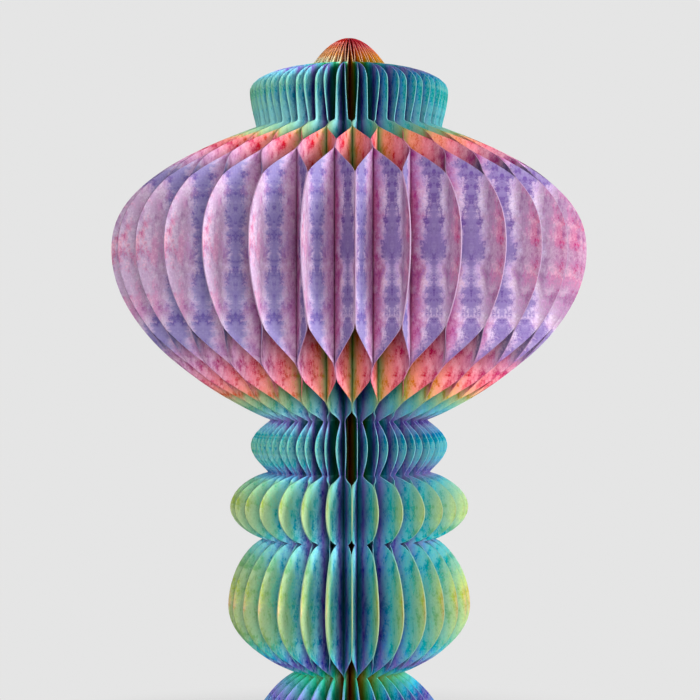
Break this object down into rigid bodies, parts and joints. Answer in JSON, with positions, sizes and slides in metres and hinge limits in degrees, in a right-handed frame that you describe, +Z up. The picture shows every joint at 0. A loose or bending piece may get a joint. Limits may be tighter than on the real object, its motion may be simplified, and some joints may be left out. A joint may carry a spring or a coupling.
{
  "type": "honeycomb paper finial",
  "caption": "Freestanding honeycomb paper decoration in the shape of a finial: a broad globe on stacked bulbs and a foot, with a crown and tip, made of cut printed sheets.",
  "frame": {"origin": "on the axis, at the surface that the lower edges of the sheets stand on", "axes": "+Z up along the axis; -Y is the front, where the first pair of sheets meets"},
  "size_m": [0.259, 0.2604, 0.3922],
  "materials": {
    "paper": "matt printed paper, colours in rings by distance from the axis: red, orange and green inside, then blue, violet, green, orange and coral, with pink and lilac at the rim"
  },
  "bodies": {
    "root": {"leaf_01": "paper", "leaf_02": "paper", "leaf_03": "paper", "leaf_04": "paper", "leaf_05": "paper", "leaf_06": "paper", "leaf_07": "paper", "leaf_08": "paper", "leaf_09": "paper", "leaf_10": "paper", "leaf_11": "paper", "leaf_12": "paper", "leaf_13": "paper", "leaf_14": "paper", "leaf_15": "paper", "leaf_16": "paper", "leaf_17": "paper", "leaf_18": "paper", "leaf_19": "paper", "leaf_20": "paper", "leaf_21": "paper", "leaf_22": "paper", "leaf_23": "paper", "leaf_24": "paper", "leaf_25": "paper", "leaf_26": "paper", "leaf_27": "paper", "leaf_28": "paper", "leaf_29": "paper", "leaf_30": "paper", "leaf_31": "paper", "leaf_32": "paper", "leaf_33": "paper", "leaf_34": "paper", "leaf_35": "paper", "leaf_36": "paper", "leaf_37": "paper", "leaf_38": "paper", "leaf_39": "paper", "leaf_40": "paper", "leaf_41": "paper", "leaf_42": "paper", "leaf_43": "paper", "leaf_44": "paper", "leaf_45": "paper", "leaf_46": "paper", "leaf_47": "paper", "leaf_48": "paper", "leaf_49": "paper", "leaf_50": "paper", "leaf_51": "paper", "leaf_52": "paper", "leaf_53": "paper", "leaf_54": "paper", "leaf_55": "paper", "leaf_56": "paper", "leaf_57": "paper", "leaf_58": "paper", "leaf_59": "paper", "leaf_60": "paper"}
  },
  "joints": []
}
